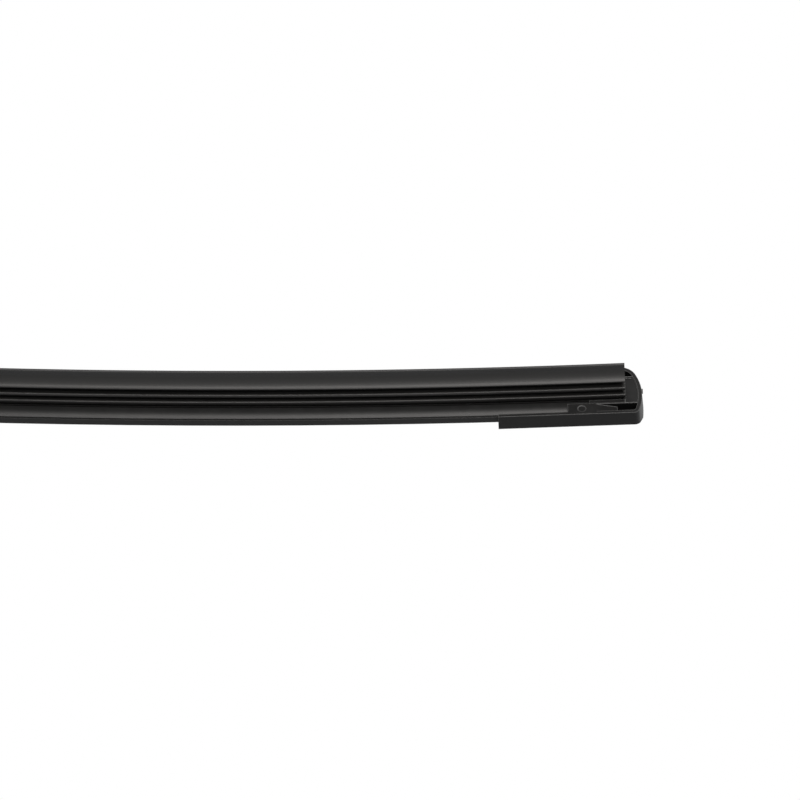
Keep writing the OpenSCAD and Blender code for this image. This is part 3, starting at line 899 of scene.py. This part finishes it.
@dataclass
class PhotoCamera:
    """The camera at the photograph's viewing angle: below the blade, looking up at its end.

    Attributes:
        place: Where the camera stands.
        right: The image's right-hand direction.
        up: The image's upward direction.
        focal_pixels: Focal length in pixels of the 800-pixel image.
        sensor: Sensor width in millimetres.
        nearest: Distance from which things are drawn.
        farthest: Distance up to which they are drawn.
    """

    place: tuple[float, float, float] = (0.125254, 0.787914, -0.795657)
    right: tuple[float, float, float] = (0.99769, 0.00314, -0.06791)
    up: tuple[float, float, float] = (-0.04626, -0.70063, -0.71202)
    focal_pixels: float = 3785.4
    sensor: float = 36.0
    nearest: float = 0.01
    farthest: float = 50.0

    def build(self) -> bpy.types.Object:
        """Creates the camera and makes it the scene's own.

        Returns:
            The camera object.
        """
        data = bpy.data.cameras.new("photo_camera")
        data.sensor_width = self.sensor
        data.lens = self.focal_pixels / PHOTO_PIXELS * self.sensor
        data.clip_start, data.clip_end = self.nearest, self.farthest
        camera = bpy.data.objects.new("photo_camera", data)
        bpy.context.scene.collection.objects.link(camera)
        across, upward = Vector(self.right).normalized(), Vector(self.up).normalized()
        back = across.cross(upward).normalized()
        upward = back.cross(across)
        turn = Matrix((across, upward, back)).transposed()
        camera.matrix_world = Matrix.Translation(Vector(self.place)) @ turn.to_4x4()
        bpy.context.scene.camera = camera
        return camera


@dataclass
class Softbox:
    """A rectangular studio lamp.

    Attributes:
        name: Name of the lamp.
        place: Where it stands.
        aim: The point that it faces.
        size: Width and height.
        power: Power in watts.
        colour: Colour of its light.
    """

    name: str
    place: tuple[float, float, float]
    aim: tuple[float, float, float]
    size: tuple[float, float]
    power: float
    colour: Colour = (1.0, 1.0, 1.0)

    def build(self) -> bpy.types.Object:
        """Creates the lamp.

        Returns:
            The lamp object.
        """
        data = bpy.data.lights.new(self.name, "AREA")
        data.shape = "RECTANGLE"
        data.size, data.size_y = self.size
        data.energy = self.power
        data.color = self.colour
        lamp = bpy.data.objects.new(self.name, data)
        bpy.context.scene.collection.objects.link(lamp)
        lamp.location = self.place
        facing = Vector(self.aim) - Vector(self.place)
        lamp.rotation_euler = facing.to_track_quat("-Z", "Y").to_euler()
        lamp.visible_camera = False
        return lamp


@dataclass
class Studio:
    """The plain floor and the white surroundings.

    Attributes:
        floor_z: Height of the floor, below the camera.
        floor_radius: Radius of the floor.
        floor_sides: Sides of the floor's outline.
        fade_from: Distance from the floor's middle at which it starts to fade to white.
        fade_to: Distance at which it is white.
        near_white: Share of white at the floor's middle.
        fill: Strength of the surroundings as a light.
    """

    floor_z: float = -1.8
    floor_radius: float = 12.0
    floor_sides: int = 96
    fade_from: float = 0.57
    fade_to: float = 3.4
    near_white: float = 0.65
    fill: float = 0.25

    def surroundings(self) -> None:
        """Makes the world: white to the camera and in reflections, a soft fill otherwise."""
        world = bpy.data.worlds.new("white_surroundings")
        bpy.context.scene.world = world
        world.use_nodes = True
        world.node_tree.nodes.clear()
        desk = NodeDesk(world.node_tree)
        strength = desk.ramp(desk.seen(), 0.0, 1.0, start=self.fill)
        light = desk.add("ShaderNodeBackground", Color=(1.0, 1.0, 1.0), Strength=strength)
        out = desk.add("ShaderNodeOutputWorld")
        desk.feed(out.inputs["Surface"], light.outputs[0])

    def floor(self) -> bpy.types.Object:
        """Makes the pale floor, which fades into the white surroundings far away.

        Returns:
            The floor object.
        """
        shape = bmesh.new()
        bmesh.ops.create_circle(shape, cap_ends=True, segments=self.floor_sides,
                                radius=self.floor_radius)
        mesh = bpy.data.meshes.new("studio_floor")
        shape.to_mesh(mesh)
        shape.free()
        floor = bpy.data.objects.new("studio_floor", mesh)
        floor.location.z = self.floor_z
        bpy.context.scene.collection.objects.link(floor)
        paper = bpy.data.materials.new("pale_paper")
        paper.use_nodes = True
        paper.node_tree.nodes.clear()
        desk = NodeDesk(paper.node_tree)
        place = desk.add("ShaderNodeTexCoord").outputs["Object"]
        reach = desk.add("ShaderNodeVectorMath", {"operation": "LENGTH"})
        desk.feed(reach.inputs[0], place)
        far = desk.ramp(reach.outputs["Value"], self.fade_from, self.fade_to,
                        start=self.near_white)
        tooth = desk.add("ShaderNodeTexNoise", Vector=place, Scale=700.0, Detail=3.0)
        matt = desk.add("ShaderNodeBsdfDiffuse",
                        Color=desk.tint(tooth.outputs[0], (0.86, 0.86, 0.86), (0.89, 0.89, 0.89)))
        white = desk.add("ShaderNodeEmission", Color=(1.0, 1.0, 1.0), Strength=1.0)
        blend = desk.add("ShaderNodeMixShader", Fac=desk.math("MULTIPLY", desk.seen(), far))
        desk.feed(blend.inputs[1], matt.outputs[0])
        desk.feed(blend.inputs[2], white.outputs[0])
        out = desk.add("ShaderNodeOutputMaterial")
        desk.feed(out.inputs["Surface"], blend.outputs[0])
        mesh.materials.append(paper)
        return floor

    def build(self) -> None:
        """Makes the surroundings, the floor and the lamps."""
        self.surroundings()
        self.floor()
        for lamp in (
            Softbox("under_softbox", (0.30, -0.01, -0.88), (0.30, 0.0, 0.0), (0.7, 0.3), 11.2,
                    (1.0, 0.968, 0.938)),
            Softbox("feather_softbox", (0.52, 0.42, -0.80), (0.52, 0.0, 0.0), (0.6, 0.3), 3.4,
                    (1.0, 0.985, 0.97)),
            Softbox("top_softbox", (-0.1, -0.35, 1.35), (-0.1, 0.0, 0.0), (1.3, 1.0), 22.0),
        ):
            lamp.build()


def main() -> None:
    """Builds the camera, the studio and every sub-assembly in order."""
    logging.basicConfig(level=logging.INFO, format="%(name)s: %(message)s")
    scene = bpy.context.scene
    scene.view_settings.view_transform = "Standard"
    PhotoCamera().build()
    Studio().build()
    rubber = WipingRubber().build(
        LipFinish("wiping_rubber_satin", (0.009, 0.0087, 0.0084), roughness=0.4, shine=0.3,
                  edge_radius=0.06 * MM))
    log.info("%s: %d faces", rubber.name, len(rubber.data.polygons))
    for part in (
        DressedNodes("spring rails", ("rail_front", "rail_rear"),
                     CoatedSteelFinish("rail_black_coat", (0.018, 0.018, 0.019), roughness=0.42,
                                       shine=0.35, edge_radius=0.12 * MM)),
        DressedNodes("spoiler", ("spoiler_left", "spoiler_right"),
                     ExtrudedFinish("spoiler_satin", (0.0075, 0.0075, 0.0075), roughness=0.41,
                                    shine=0.17, edge_radius=0.25 * MM)),
        DressedNodes("end caps", ("end_cap_left", "end_cap_right"),
                     MouldedFinish("end_cap_grain", (0.0055, 0.0055, 0.0055), roughness=0.38,
                                   shine=0.135, edge_radius=0.38 * MM, part_line=15.4 * MM)),
        DressedNodes("bracket", ("rail_bracket",),
                     CoatedSteelFinish("bracket_black_coat", (0.022, 0.022, 0.023), roughness=0.4,
                                       shine=0.4, edge_radius=0.15 * MM, wear=0.8)),
        DressedNodes("connector cover", ("connector_cover",),
                     MouldedFinish("cover_grain", (0.012, 0.012, 0.0125), roughness=0.48,
                                   shine=0.27, edge_radius=0.25 * MM, grain=2800.0)),
        DressedNodes("pivot pin", ("pivot_pin",),
                     TurnedSteelFinish("pin_steel", (0.43, 0.42, 0.41), roughness=0.34,
                                       shine=0.5, edge_radius=0.15 * MM)),
        DressedNodes("hook adaptor", ("hook_adaptor",),
                     MouldedFinish("adaptor_smooth", (0.014, 0.014, 0.0145), roughness=0.36,
                                   shine=0.3, edge_radius=0.3 * MM, grain=4200.0,
                                   grain_depth=0.006 * MM)),
    ):
        for piece in part.build():
            log.info("%s: %s dressed", part.title, piece.name)


if __name__ == "__main__":
    main()
